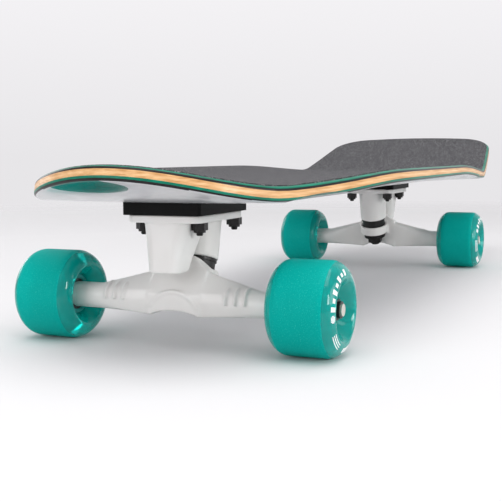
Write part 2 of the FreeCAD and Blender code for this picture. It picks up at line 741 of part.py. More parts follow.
def make_hanger(end):
    name = end + "_yoke"
    side = side_sketch(name + "_side", chain([
        (val("body_front"), 18.0), (val("body_front"), val("body_front_top")),
        (-val("body_neck_out"), val("body_neck_height")),
        (-val("body_neck_out") - 1.5, val("body_peak_height") - 2.0),
        (-val("body_neck_out") - 4.0, val("body_peak_height")),
        (-val("body_top_back"), val("body_peak_height") - 3.0),
        (-val("body_top_back"), val("body_back_height")),
        (-val("body_back"), val("axle_height")), (-val("body_back"), 18.0)]))
    half = val("body_shoulder")
    tip = val("body_peak_half_span")
    bottom = val("body_bottom")
    face = front_sketch(name + "_face", [
        ((-half, bottom), (0.0, val("body_arch_height")), (half, bottom)),
        ((half, bottom), (half, val("body_shoulder_height"))),
        ((half, val("body_shoulder_height")), (tip, val("body_peak_height"))),
        ((tip, val("body_peak_height")), (0.0, val("body_peak_height") + 2.0),
         (-tip, val("body_peak_height"))),
        ((-tip, val("body_peak_height")), (-half, val("body_shoulder_height"))),
        ((-half, val("body_shoulder_height")), (-half, bottom))])
    body = common(name + "_body", extrusion(name + "_side_block", side, "160", True),
                  extrusion(name + "_face_block", face, "120", True))
    parts = [body]
    for label, sign in (("left", 1.0), ("right", -1.0)):
        tip = val("arm_tip")
        arm = doc.addObject("Part::Loft", name + "_arm_" + label)
        arm.Sections = [arm_section(name + "_root_" + label, val("arm_root") * sign),
                        barrel_section(name + "_tip_" + label, tip * sign)]
        arm.Solid = True
        arm.Ruled = True
        barrel = cylinder(name + "_barrel_" + label, "barrel_radius",
                          "barrel_end - arm_tip")
        barrel.Placement = Placement(Vector(0, tip * sign, val("axle_height")),
                                     Rotation(Vector(1, 0, 0), -90.0 * sign))
        parts += [arm, barrel]
        for index in range(3):
            rib = doc.addObject("Part::Torus", "_".join((name, "rib", label, str(index))))
            bind(rib, {"Radius1": sized("rib_ring_radius"), "Radius2": sized("rib_radius")})
            rib.Angle3 = 105.0
            station = (val("rib_first") + index * val("rib_pitch")) * sign
            rib.Placement = Placement(Vector(0, station, val("axle_height")),
                                      Rotation(Vector(1, 0, 0), 90.0))
            parts.append(rib)
    ring = on_kingpin(cylinder(name + "_ring", "ring_radius", "ring_top + ring_bottom"),
                      "- ring_top")
    bridge = box(name + "_bridge", "ring_in - 4", "bridge_width", "bridge_height")
    put(bridge, "- ring_in", "- bridge_width / 2", "bridge_base")
    root = on_pivot(cone(name + "_stem_root", "stem_root_radius", "stem_radius",
                         "stem_root_length"), -val("stem_root_start"))
    stem = on_pivot(cylinder(name + "_stem", "stem_radius", "stem_length"),
                    -val("stem_length"))
    ball = sphere(name + "_ball", "pivot_ball_radius")
    on_pivot(ball, 0.0)
    crest = doc.addObject("Part::Torus", name + "_crest")
    bind(crest, {"Radius1": sized("crest_radius"), "Radius2": sized("crest_round")})
    crest.Angle3 = val("crest_sweep")
    crest.Placement = Placement(
        Vector(val("crest_out"), 0, val("crest_height")), Rotation(UPRIGHT, 90.0).multiply(
            Rotation(Vector(0, 0, 1), 180.0 - val("crest_sweep") / 2)))
    parts += [ring, bridge, root, stem, ball, crest]
    solid = fuse(name + "_solid", parts)
    upper_seat = on_kingpin(cylinder(name + "_upper_seat", "ring_seat_radius", "9"),
                            "- seat_web_half - 9")
    boss_room = on_kingpin(cylinder(name + "_boss_room", "boss_room_radius", "40"),
                           "- kingpin_boss_gap - 36")
    lower_seat = on_kingpin(cylinder(name + "_lower_seat", "ring_seat_radius", "26"),
                            "seat_web_half")
    pin_room = on_kingpin(cylinder(name + "_pin_room", "ring_hole_radius", "40"), "-20")
    axle_bore = across(cylinder(name + "_axle_bore", "axle_radius", "axle_half_length * 2"),
                       "- axle_half_length")
    washer_room = on_kingpin(cylinder(name + "_washer_room", "washer_room_radius",
                                      "washer_room_length"), "washer_room_start")
    tools = fuse(name + "_tools", [upper_seat, boss_room, lower_seat, washer_room, pin_room])
    open_solid = cut(name + "_seated", solid, tools)
    return cut(name + "_cast", open_solid, axle_bore)


def make_truck(end, station, turn):
    """Build one truck's pieces about its axle and stand them at the axle's station."""
    holes = bolt_tool(end + "_holes")
    nut = on_kingpin(hexagon(end + "_nut_hex", "kingpin_nut_flat", "kingpin_nut_depth"),
                     "seat_web_half + lower_bushing_length + washer_thickness")
    nut_bore = on_kingpin(cylinder(end + "_nut_bore", "kingpin_radius", "40"), "0")
    upper = on_kingpin(cylinder(end + "_upper_body", "upper_bushing_radius",
                                "upper_bushing_length"),
                       "- seat_web_half - upper_bushing_length")
    upper_bore = on_kingpin(cylinder(end + "_upper_bore", "bushing_hole_radius", "40"), "-30")
    lower = on_kingpin(cone(end + "_lower_body", "lower_bushing_radius",
                            "lower_bushing_small_radius", "lower_bushing_length"),
                       "seat_web_half")
    lower_bore = on_kingpin(cylinder(end + "_lower_bore", "bushing_hole_radius", "40"), "-5")
    axle = across(cylinder(end + "_axle_rod", "axle_radius", "axle_half_length * 2"),
                  "- axle_half_length")
    made = [
        (pad(end + "_riser", "plate_top", "pad_thickness", holes), end + "_riser_pad"),
        (pad(end + "_shim", "plate_top + pad_thickness", "shim_thickness", holes),
         end + "_shim_pad"),
        (make_baseplate(end, holes), end + "_baseplate"),
        (make_cup(end), end + "_pivot_cup"),
        (make_kingpin(end), end + "_kingpin"),
        (cut(end + "_nut_cut", nut, nut_bore), end + "_kingpin_nut"),
        (cup_washer(end + "_upper_washer", "upper_washer_radius", "- kingpin_boss_gap", False),
         end + "_upper_cup_washer"),
        (cut(end + "_upper_cast", upper, upper_bore), end + "_upper_bushing"),
        (cut(end + "_lower_cast", lower, lower_bore), end + "_lower_bushing"),
        (cup_washer(end + "_lower_washer", "lower_washer_radius",
                    "seat_web_half + lower_bushing_length", True),
         end + "_lower_cup_washer"),
        (make_hanger(end), end + "_hanger"),
        (axle, end + "_axle"),
        (axle_rings(end), end + "_bearing_inner_rings"),
        (axle_spacers(end), end + "_bearing_spacers"),
        (speed_washers(end), end + "_speed_washers"),
        (axle_nuts(end), end + "_axle_nuts"),
    ]
    for item, label in made:
        spot = Placement(Vector(val(station), 0, 0), Rotation(Vector(0, 0, 1), turn))
        if item.TypeId == "Part::Cylinder":
            item = fuse_single(label + "_whole", item)
        item.Placement = spot
        item.setExpression("Placement.Base.x", sized(station))
        piece(item, label)


def fuse_single(name, item):
    """Wrap one primitive so the finished piece has a placement of its own."""
    return group(name, [item])


# ---------------------------------------------------------------- wheels and bearings

def ring_sketch(name, loops):
    """Closed profiles of (radius, side) points, turned about the Y axis."""
    segments = []
    for loop in loops:
        segments += loop
    sketch = closed_sketch(name + "_profile", segments, Placement())
    item = doc.addObject("Part::Revolution", name)
    item.Source = sketch
    item.Axis = (0.0, 1.0, 0.0)
    item.Base = (0.0, 0.0, 0.0)
    item.Angle = 360.0
    item.Solid = True
    return item


def tube_on_axle(name, inner, outer, low, high):
    """Plain ring round the axle between two side positions, drawn as a revolution."""
    return ring_sketch(name, [chain([(inner, low), (outer, low), (outer, high),
                                     (inner, high)])])


def bearing_sides(centre):
    """Low and high side positions of the two bearings of a wheel at the given centre."""
    near = val("hub_stop_half")
    far = near + val("bearing_width")
    return [(centre - far, centre - near), (centre + near, centre + far)]


def axle_item(end, kind, spans, inner, outer):
    items = []
    for index, (low, high) in enumerate(spans):
        tube = tube_on_axle("_".join((end, kind, str(index))), inner, outer, low, high)
        put(tube, "0", "0", "axle_height")
        items.append(tube)
    return group("_".join((end, kind, "set")), items)


def axle_rings(end):
    spans = []
    for sign in (1.0, -1.0):
        spans += bearing_sides(sign * val("wheel_offset"))
    return axle_item(end, "inner_ring", spans, val("axle_radius"),
                     val("bearing_inner_radius"))


def axle_spacers(end):
    half = val("hub_stop_half")
    spans = [(sign * val("wheel_offset") - half, sign * val("wheel_offset") + half)
             for sign in (1.0, -1.0)]
    return axle_item(end, "spacer", spans, val("axle_radius"), val("spacer_radius"))


def speed_washers(end):
    reach = val("hub_stop_half") + val("bearing_width")
    thick = val("speed_washer_thickness")
    spans = []
    for sign in (1.0, -1.0):
        centre = sign * val("wheel_offset")
        spans.append((centre - reach - thick, centre - reach))
        spans.append((centre + reach, centre + reach + thick))
    return axle_item(end, "speed_washer", spans, val("axle_radius"),
                     val("speed_washer_radius"))


def axle_nuts(end):
    start = ("wheel_offset + hub_stop_half + bearing_width + speed_washer_thickness")
    items = []
    for side, turn in (("left", -90.0), ("right", 90.0)):
        name = "_".join((end, "axle_nut", side))
        sign = "" if side == "left" else "- "
        body = put(hexagon(name + "_hex", "axle_nut_flat", "axle_nut_depth"), "0",
                   sign + "( " + start + " )", "axle_height", Vector(1, 0, 0), turn)
        collar = put(cylinder(name + "_collar", "axle_nut_collar_radius",
                              "axle_nut_collar_depth"), "0",
                     sign + "( " + start + " + axle_nut_depth )", "axle_height",
                     Vector(1, 0, 0), turn)
        bore = put(cylinder(name + "_bore", "axle_radius", "30"), "0",
                   sign + "( " + start + " - 5 )", "axle_height", Vector(1, 0, 0), turn)
        items.append(cut(name, fuse(name + "_solid", [body, collar]), bore))
    return group(end + "_axle_nut_set", items)


def make_wheel(name, station, offset):
    """One wheel about its own centre: hub core, tyre, bearing outer rings and balls."""
    hub = val("hub_radius")
    half = val("hub_half_length")
    stop = val("hub_stop_radius")
    stop_half = val("hub_stop_half")
    seat = val("bearing_radius")
    hub_ring = ring_sketch(name + "_hub", [chain([
        (stop, -stop_half), (stop, stop_half), (seat, stop_half), (seat, half), (hub, half),
        (hub, -half), (seat, -half), (seat, -stop_half)])])
    hoop_half = val("hoop_half_length")
    hoop = ring_sketch(name + "_hoop", [chain([
        (val("hoop_inner"), -hoop_half), (val("hoop_outer"), -hoop_half),
        (val("hoop_outer"), hoop_half), (val("hoop_inner"), hoop_half)])])
    parts = [hub_ring, hoop]
    for index in range(8):
        spoke = box(name + "_spoke_%d" % index, "hoop_inner - hub_radius + 1.6",
                    "spoke_half_length * 2", "spoke_width")
        turn = Rotation(UPRIGHT, 45.0 * index)
        start = turn.multVec(Vector(hub - 1.0, -val("spoke_half_length"),
                                    -val("spoke_width") / 2))
        spoke.Placement = Placement(start, turn)
        parts.append(spoke)
    core = fuse(name + "_core_moulded", parts)
    radius = val("wheel_radius")
    side = val("wheel_width") / 2
    lip = val("wheel_lip")
    bend = lip * (1.0 - math.cos(math.radians(45.0)))
    shoulder = side - lip
    blank = ring_sketch(name + "_blank", [[
        ((hub, -half), (radius - lip, -side)),
        ((radius - lip, -side), (radius - bend, -side + bend), (radius, -shoulder)),
        ((radius, -shoulder), (radius, shoulder)),
        ((radius, shoulder), (radius - bend, side - bend), (radius - lip, side)),
        ((radius - lip, side), (hub, half)),
        ((hub, half), (hub, -half))]])
    tyre = cut(name + "_tyre_cast", blank, core)
    outer_loops = []
    balls = []
    for index, (low, high) in enumerate(bearing_sides(0.0)):
        bore = val("bearing_inner_radius") + val("bearing_gap")
        race = val("bearing_race_radius")
        skin = val("bearing_shield")
        deep = val("shield_recess")
        outer_loops.append(chain([
            (seat, low), (seat, high), (race, high), (race, high - deep),
            (bore, high - deep), (bore, high - deep - skin), (race, high - deep - skin),
            (race, low + deep + skin), (bore, low + deep + skin), (bore, low + deep),
            (race, low + deep), (race, low)]))
        middle = (low + high) / 2
        width = val("cage_half_width")
        thick = val("cage_half_thickness")
        circle = val("ball_circle")
        cage = ring_sketch(name + "_cage_%d" % index, [chain([
            (circle - thick, middle - width), (circle + thick, middle - width),
            (circle + thick, middle + width), (circle - thick, middle + width)])])
        ring = [cage]
        for step in range(7):
            angle = 2 * math.pi * step / 7
            outward = Vector(math.cos(angle), 0, math.sin(angle))
            along = Vector(math.sin(angle), 0, -math.cos(angle))
            ball = sphere("%s_ball_%d_%d" % (name, index, step), "ball_radius")
            ball.Placement = Placement(outward * circle + UPRIGHT * middle,
                                       Rotation(outward, along, UPRIGHT, "ZXY"))
            ring.append(ball)
        balls.append(fuse(name + "_ball_ring_%d" % index, ring))
    outer = ring_sketch(name + "_outer_rings", outer_loops)
    made = [(tyre, "_tyre"), (core, "_core"), (outer, "_bearing_outer_rings"),
            (group(name + "_ball_rings", balls), "_bearing_balls")]
    for item, label in made:
        if item is core:
            item = group(name + "_core_set", [core])
        bind(item, {"Placement.Base.x": sized(station), "Placement.Base.y": sized(offset),
                    "Placement.Base.z": sized("axle_height")})
        piece(item, name + label)


for end, station, turn in TRUCKS:
    make_truck(end, station, turn)
    make_wheel(end + "_left", station, "wheel_offset")
    make_wheel(end + "_right", station, "- wheel_offset")

doc.recompute()


# ---------------------------------------------------------------- checks and export

problems = []
for item in doc.Objects:
    if "Invalid" in item.State or "Error" in item.State:
        problems.append(item.Name + " has state " + ", ".join(item.State))
for item in PIECES:
    shape = item.Shape
    if shape.isNull() or not shape.isValid() or shape.Volume < 1.0:
        problems.append(item.Label + " has no sound solid")
if problems:
    raise RuntimeError("; ".join(problems))

os.makedirs("parts", exist_ok=True)
for item in PIECES:
    item.Shape.exportStep("parts/" + item.Label + ".step")
    box_size = item.Shape.BoundBox
    print("%-32s %2d solid(s) %10.1f mm3  x %7.1f %7.1f  y %7.1f %7.1f  z %6.1f %6.1f" % (
        item.Label, len(item.Shape.Solids), item.Shape.Volume, box_size.XMin, box_size.XMax,
        box_size.YMin, box_size.YMax, box_size.ZMin, box_size.ZMax))
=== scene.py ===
"""Looks for the cruiser skateboard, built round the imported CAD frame. Units are metres."""
import json
import math

import bmesh
import bpy
from mathutils import Matrix, Vector


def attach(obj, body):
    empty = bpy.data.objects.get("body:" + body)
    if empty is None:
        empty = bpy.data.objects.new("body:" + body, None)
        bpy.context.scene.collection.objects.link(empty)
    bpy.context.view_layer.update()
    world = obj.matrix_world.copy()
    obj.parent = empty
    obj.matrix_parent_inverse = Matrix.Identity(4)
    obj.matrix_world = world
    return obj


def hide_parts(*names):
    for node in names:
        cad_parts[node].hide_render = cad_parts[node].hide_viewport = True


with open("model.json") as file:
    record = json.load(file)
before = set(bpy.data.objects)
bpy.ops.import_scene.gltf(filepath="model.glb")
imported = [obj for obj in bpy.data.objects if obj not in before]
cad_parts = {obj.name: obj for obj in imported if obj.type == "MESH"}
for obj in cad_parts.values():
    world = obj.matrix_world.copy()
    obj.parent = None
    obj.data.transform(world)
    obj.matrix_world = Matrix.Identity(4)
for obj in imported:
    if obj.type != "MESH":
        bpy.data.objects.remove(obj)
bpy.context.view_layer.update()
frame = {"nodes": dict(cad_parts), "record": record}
MM = 0.001
scene = bpy.context.scene
scene.view_settings.view_transform = "Standard"

# ------------------------------------------------------------------ camera

CAMERA_AT = Vector((0.8254, 0.2839, 0.1259))
CAMERA_YAW = 0.411
CAMERA_PITCH = 0.103
CAMERA_ROLL = -0.008
CAMERA_LENS = 64.49


def add_camera():
    """Camera low in front of the nose, on the board's left side."""
    data = bpy.data.cameras.new("view_camera")
    data.lens = CAMERA_LENS
    data.sensor_width = 36.0
    data.sensor_fit = "HORIZONTAL"
    data.clip_start = 0.01
    data.clip_end = 60.0
    camera = bpy.data.objects.new("view_camera", data)
    scene.collection.objects.link(camera)
    level = Vector((-math.cos(CAMERA_YAW), -math.sin(CAMERA_YAW), 0.0))
    right = level.cross(Vector((0, 0, 1))).normalized()
    forward = math.cos(CAMERA_PITCH) * level - math.sin(CAMERA_PITCH) * Vector((0, 0, 1))
    up = right.cross(forward)
    cos_roll, sin_roll = math.cos(CAMERA_ROLL), math.sin(CAMERA_ROLL)
    turned_right = cos_roll * right + sin_roll * up
    turned_up = -sin_roll * right + cos_roll * up
    basis = Matrix((turned_right, turned_up, -forward)).transposed().to_4x4()
    camera.matrix_world = Matrix.Translation(CAMERA_AT) @ basis
    scene.camera = camera


# ------------------------------------------------------------------ stage and light

FLOOR_REACH = 9.0
FLOOR_DROP = 0.0002
FLOOR_MIDDLE = (0.25, 0.0)
FLOOR_FADE = 2.0
BACKDROP = 0.90
ROOM = 0.52
BACKDROP_SIDE = (-0.91, -0.41, 0.0)
UPWARD = (0.0, 0.0, 1.0)
BELOW_SHADE = 0.89
SKY_TINT = (1.0, 0.993, 1.004)
LAMPS = (
    ("top_softbox", (0.45, 0.2, 1.6), (0.2, 0.05, 0.05), 1.9, 1.6, 20.0),
    ("side_softbox", (0.75, 1.9, 0.65), (0.2, 0.1, 0.05), 0.35, 0.6, 9.0),
    ("tail_softbox", (-0.1, 1.7, 0.5), (-0.2, 0.0, 0.05), 0.9, 0.7, 7.0),
    ("nose_softbox", (2.2, -0.9, 0.6), (0.2, 0, 0.06), 1.2, 0.9, 11.0),
    ("right_softbox", (-0.6, -2.1, 0.8), (0.0, 0, 0.05), 1.4, 1.0, 9.0),
)


def add_floor():
    """Pale floor that fades into the surroundings well behind the board."""
    mesh = bpy.data.meshes.new("floor")
    corners = [(-FLOOR_REACH, -FLOOR_REACH, 0), (FLOOR_REACH, -FLOOR_REACH, 0),
               (FLOOR_REACH, FLOOR_REACH, 0), (-FLOOR_REACH, FLOOR_REACH, 0)]
    mesh.from_pydata(corners, [], [(0, 1, 2, 3)])
    floor = bpy.data.objects.new("floor", mesh)
    scene.collection.objects.link(floor)
    floor.location.z = -FLOOR_DROP
    paint = Paint("floor_paint")
    paint.set(Roughness=0.75, Specular_IOR_Level=0.08)
    paint.colour(paint.ramp(paint.noise(0.8, detail=1.0), (0.0, (0.765, 0.760, 0.768)),
                    (1.0, (0.780, 0.775, 0.783))))
    fade = paint.distance(FLOOR_MIDDLE, (FLOOR_FADE, FLOOR_FADE))
    paint.link(paint.ramp(fade, (0.45, (1, 1, 1)), (1.0, (0, 0, 0))), paint.shader.inputs["Alpha"])
    mesh.materials.append(paint.material)


def add_surroundings():
    """Bright backdrop behind the board, darker room behind the camera, shade below the horizon."""
    world = bpy.data.worlds.new("surroundings")
    world.use_nodes = True
    tree = world.node_tree
    coords = tree.nodes.new("ShaderNodeTexCoord")
    towards = (
        (BACKDROP_SIDE, ((0.0, ROOM), (0.70, ROOM), (0.90, BACKDROP), (1.0, BACKDROP))),
        (UPWARD, ((0.0, BELOW_SHADE), (0.5, BELOW_SHADE), (0.585, 1.0), (1.0, 1.0))),
    )
    ramps = []
    for axis, stops in towards:
        along = tree.nodes.new("ShaderNodeVectorMath")
        along.operation = "DOT_PRODUCT"
        along.inputs[1].default_value = axis
        tree.links.new(coords.outputs["Generated"], along.inputs[0])
        span = tree.nodes.new("ShaderNodeMapRange")
        span.inputs["From Min"].default_value = -1.0
        span.inputs["From Max"].default_value = 1.0
        tree.links.new(along.outputs["Value"], span.inputs["Value"])
        ramp = tree.nodes.new("ShaderNodeValToRGB")
        while len(ramp.color_ramp.elements) < len(stops):
            ramp.color_ramp.elements.new(0.5)
        for element, (place, level) in zip(ramp.color_ramp.elements, stops):
            element.position = place
            element.color = (*(level * part for part in SKY_TINT), 1.0)
        tree.links.new(span.outputs["Result"], ramp.inputs["Fac"])
        ramps.append(ramp.outputs["Color"])
    product = tree.nodes.new("ShaderNodeMix")
    product.data_type = "RGBA"
    product.blend_type = "MULTIPLY"
    product.inputs["Factor"].default_value = 1.0
    tree.links.new(ramps[0], product.inputs["A"])
    tree.links.new(ramps[1], product.inputs["B"])
    tree.links.new(product.outputs["Result"], tree.nodes["Background"].inputs["Color"])
    scene.world = world


def add_lamps():
    """Soft rectangular lamps: name, place, aim, width, height and power."""
    for name, spot, target, width, height, power in LAMPS:
        data = bpy.data.lights.new(name, "AREA")
        data.shape = "RECTANGLE"
        data.size, data.size_y = width, height
        data.energy = power
        lamp = bpy.data.objects.new(name, data)
        scene.collection.objects.link(lamp)
        lamp.location = spot
        lamp.rotation_euler = (Vector(target) - Vector(spot)).to_track_quat("-Z", "Y").to_euler()


# ------------------------------------------------------------------ mesh helpers

def finish_mesh(name, vertices, faces, body, smooth_angle=35.0):
    """Turn points in millimetres into a closed, outward-facing piece that rides on a body."""
    mesh = bpy.data.meshes.new(name)
    mesh.from_pydata([tuple(MM * value for value in point) for point in vertices], [], faces)
    build = bmesh.new()
    build.from_mesh(mesh)
    bmesh.ops.remove_doubles(build, verts=build.verts, dist=1e-7)
    bmesh.ops.dissolve_degenerate(build, edges=build.edges, dist=1e-8)
    bmesh.ops.recalc_face_normals(build, faces=build.faces)
    build.to_mesh(mesh)
    build.free()
    item = bpy.data.objects.new(name, mesh)
    scene.collection.objects.link(item)
    soften(item, smooth_angle)
    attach(item, body)
    return item


def soften(item, angle):
    """Smooth shading with creases where faces meet more sharply than the angle."""
    item.data.shade_smooth()
    item.data.set_sharp_from_angle(angle=math.radians(angle))


def bake_modifiers(item):
    """Apply every modifier on a piece."""
    graph = bpy.context.evaluated_depsgraph_get()
    mesh = bpy.data.meshes.new_from_object(item.evaluated_get(graph))
    item.modifiers.clear()
    item.data = mesh


def cut_away(item, tool):
    """Cut one object's shape out of a piece and drop the tool."""
    step = item.modifiers.new("cut", "BOOLEAN")
    step.operation = "DIFFERENCE"
    step.solver = "EXACT"
    step.object = tool
    bake_modifiers(item)


def lathe(profile, centre, segments=192):
    """Turn a closed profile of (radius, side) round an axle; returns points and faces."""
    count = len(profile)
    points = []
    for step in range(segments):
        angle = 2 * math.pi * step / segments
        for radius, side in profile:
            points.append((centre[0] + radius * math.cos(angle), centre[1] + side,
                           centre[2] + radius * math.sin(angle)))
    faces = []
    for step in range(segments):
        after = (step + 1) % segments
        for spot in range(count):
            following = (spot + 1) % count
            faces.append((step * count + spot, step * count + following,
                          after * count + following, after * count + spot))
    return points, faces


def arc_points(centre, radius, first, last, steps):
    """Points on an arc between two angles in degrees, ends included."""
    made = []
    for step in range(steps + 1):
        angle = math.radians(first + (last - first) * step / steps)
        made.append((centre[0] + radius * math.cos(angle),
                     centre[1] + radius * math.sin(angle)))
    return made


# ------------------------------------------------------------------ deck, in millimetres

STATIONS = {"front": 295.75, "rear": -208.75}
PLY = 1.44
PLY_COUNT = 7
GRIP = 0.8
RAIL_ROUND = 2.7
GRIP_EDGE = 2.75
NOSE, TAIL, HALF_WIDTH = 388.0, -388.0, 122.0
TIP_RADIUS, SHOULDER_X, TAPER_X = 91.0, 118.0, -32.0
TAIL_HALF, CORNER_RADIUS, END_ANGLE = 103.5, 44.5, math.radians(9.0)
TOP, NOSE_BEND, NOSE_RADIUS = 107.5, 312.5, 189.0
TAIL_BEND, TAIL_RADIUS, TAIL_ANGLE = -239.8, 86.0, math.radians(17.5)
CONCAVE, CONCAVE_FLAT, CONCAVE_NOSE, CONCAVE_TAIL = 9.8, 23.0, 174.5, -63.0
TAIL_FLAT = 60.0
COLUMNS = 28
TAPER_STEPS = 16


def ease(amount):
    """Smooth step from 0 to 1."""
    amount = min(max(amount, 0.0), 1.0)
    return amount * amount * (3.0 - 2.0 * amount)


def deck_top(x, y):
    """Height of the wood's top: flat middle, upturned nose, kicked tail, raised rails."""
    ahead = max(x - NOSE_BEND, 0.0)
    behind = max(TAIL_BEND - x, 0.0)
    bend = min(behind, TAIL_RADIUS * math.sin(TAIL_ANGLE))
    height = TOP + NOSE_RADIUS - math.sqrt(NOSE_RADIUS ** 2 - ahead ** 2)
    height += TAIL_RADIUS - math.sqrt(TAIL_RADIUS ** 2 - bend ** 2)
    height += (behind - bend) * math.tan(TAIL_ANGLE)
    nose_fade = ease((x - CONCAVE_NOSE) / (NOSE - CONCAVE_NOSE))
    tail_fade = ease((CONCAVE_TAIL - x) / (CONCAVE_TAIL - TAIL - TAIL_FLAT))
    lift = max(abs(y) - CONCAVE_FLAT, 0.0) / (HALF_WIDTH - CONCAVE_FLAT)
    return height + CONCAVE * (1.0 - nose_fade) * (1.0 - tail_fade) * lift ** 2


def deck_point(x, y, depth):
    """Point at a depth measured square to the wood's top."""
    step = 0.5
    slope_x = (deck_top(x + step, y) - deck_top(x - step, y)) / (2 * step)
    slope_y = (deck_top(x, y + step) - deck_top(x, y - step)) / (2 * step)
    scale = depth / math.sqrt(1.0 + slope_x ** 2 + slope_y ** 2)
    return (x + slope_x * scale, y + slope_y * scale, deck_top(x, y) - scale)


def half_outline(inset):
    """Left half of the deck's outline from the nose to the tail, moved in by an inset."""
    reach = NOSE - TIP_RADIUS - SHOULDER_X
    shoulder = (reach ** 2 + HALF_WIDTH ** 2 - TIP_RADIUS ** 2) / (2 * (HALF_WIDTH - TIP_RADIUS))
    meet = math.degrees(math.atan2(shoulder - HALF_WIDTH, reach))
    drop = HALF_WIDTH - TAIL_HALF
    corner_x = TAIL + CORNER_RADIUS
    for attempt in range(6):
        run = TAPER_X - corner_x
        taper = (run ** 2 + drop ** 2) / (2 * drop)
        lean = math.asin(run / taper)
        centre_y = HALF_WIDTH - drop - CORNER_RADIUS * math.cos(lean)
        centre_x = TAIL + CORNER_RADIUS + centre_y * math.tan(END_ANGLE / 2)
        corner_x = centre_x - CORNER_RADIUS * math.sin(lean)
    end_radius = CORNER_RADIUS + centre_y / math.sin(END_ANGLE)
    lean = math.degrees(lean)
    ending = 180.0 - math.degrees(END_ANGLE)
    points = arc_points((NOSE - TIP_RADIUS, 0.0), TIP_RADIUS - inset, 0, meet, 44)
    points += arc_points((SHOULDER_X, HALF_WIDTH - shoulder), shoulder - inset, meet, 90, 26)[1:]
    points += [(SHOULDER_X + (TAPER_X - SHOULDER_X) * step / TAPER_STEPS, HALF_WIDTH - inset)
               for step in range(1, TAPER_STEPS + 1)]
    points += arc_points((TAPER_X, HALF_WIDTH - taper), taper - inset, 90, 90 + lean, 44)[1:]
    points += arc_points((centre_x, centre_y), CORNER_RADIUS - inset, 90 + lean, ending, 26)[1:]
    points += arc_points((TAIL + end_radius, 0.0), end_radius - inset, ending, 180, 14)[1:]
    return points


def rail_inset(depth):
    """How far the rounded rail has drawn in at a depth."""
    edge = min(depth, PLY * PLY_COUNT - depth)
    if edge >= RAIL_ROUND:
        return 0.0
    return RAIL_ROUND - math.sqrt(RAIL_ROUND ** 2 - (RAIL_ROUND - edge) ** 2)


def deck_sheet(name, rings, smooth_angle=40.0):
    """Closed sheet of the deck's outline; each ring is a depth and an inset, top to bottom."""
    outlines = [half_outline(inset) for depth, inset in rings]
    rows = len(outlines[0])
    points, faces = [], []

    def surface(outline, depth):
        first = len(points)
        for x, y in outline:
            for column in range(COLUMNS + 1):
                points.append(deck_point(x, y * (1 - 2 * column / COLUMNS), depth))
        return first

    width = COLUMNS + 1
    top = surface(outlines[0], rings[0][0])
    bottom = surface(outlines[-1], rings[-1][0])
    for row in range(rows - 1):
        for column in range(COLUMNS):
            corner = row * width + column
            faces.append((top + corner, top + corner + 1, top + corner + width + 1,
                          top + corner + width))
            faces.append((bottom + corner, bottom + corner + width,
                          bottom + corner + width + 1, bottom + corner + 1))
    for side, sign in ((0, 1.0), (COLUMNS, -1.0)):
        strips = [[top + row * width + side for row in range(rows)]]
        for (depth, inset), outline in list(zip(rings, outlines))[1:-1]:
            start = len(points)
            points.extend(deck_point(x, y * sign, depth) for x, y in outline)
            strips.append([start + row for row in range(rows)])
        strips.append([bottom + row * width + side for row in range(rows)])
        for upper, lower in zip(strips, strips[1:]):
            for row in range(rows - 1):
                faces.append((upper[row], lower[row], lower[row + 1], upper[row + 1]))
    return finish_mesh(name, points, faces, "deck", smooth_angle)


def ply_rings(level):
    """Depths through one veneer with the rail's inset at each."""
    steps = 6
    depths = [PLY * (level + step / steps) for step in range(steps + 1)]
    return [(depth, rail_inset(depth)) for depth in depths]


VENEERS = (("ply_top_green", "ply_green"), ("ply_upper_black", "ply_black"),
           ("core_upper_maple", "maple"), ("core_cross_maple", "maple_cross"),
           ("core_lower_maple", "maple"), ("ply_lower_green", "ply_green"),
           ("ply_bottom_black", "ply_black"))
RELIEVED = ("core_lower_maple", "ply_lower_green", "ply_bottom_black")
WELL_RADIUS, WELL_DEPTH, WELL_SLOPE, WELL_LENGTH = 255.0, 3.9, 0.3, 90.0
WELL_RAIL = {"front": 99.0, "rear": 117.0}
UNDERSIDE_NORMAL = -0.72


def well_drum(end, sign):
    """Drum that hollows the deck's underside over one wheel."""
    x, rail = STATIONS[end], WELL_RAIL[end]
    under = deck_top(x, rail) - PLY_COUNT * PLY
    axis = Vector((0, math.cos(WELL_SLOPE) * sign, math.sin(WELL_SLOPE)))
    down = Vector((0, math.sin(WELL_SLOPE) * sign, -math.cos(WELL_SLOPE)))
    centre = Vector((x, rail * sign, under + WELL_DEPTH)) + down * WELL_RADIUS
    turn = axis.to_track_quat("Y", "Z").to_matrix()
    points, faces = lathe([(0.01, -WELL_LENGTH / 2), (WELL_RADIUS, -WELL_LENGTH / 2),
                           (WELL_RADIUS, WELL_LENGTH / 2), (0.01, WELL_LENGTH / 2)],
                          (0, 0, 0), 720)
    moved = [tuple(turn @ Vector(point) + centre) for point in points]
    return moved, faces


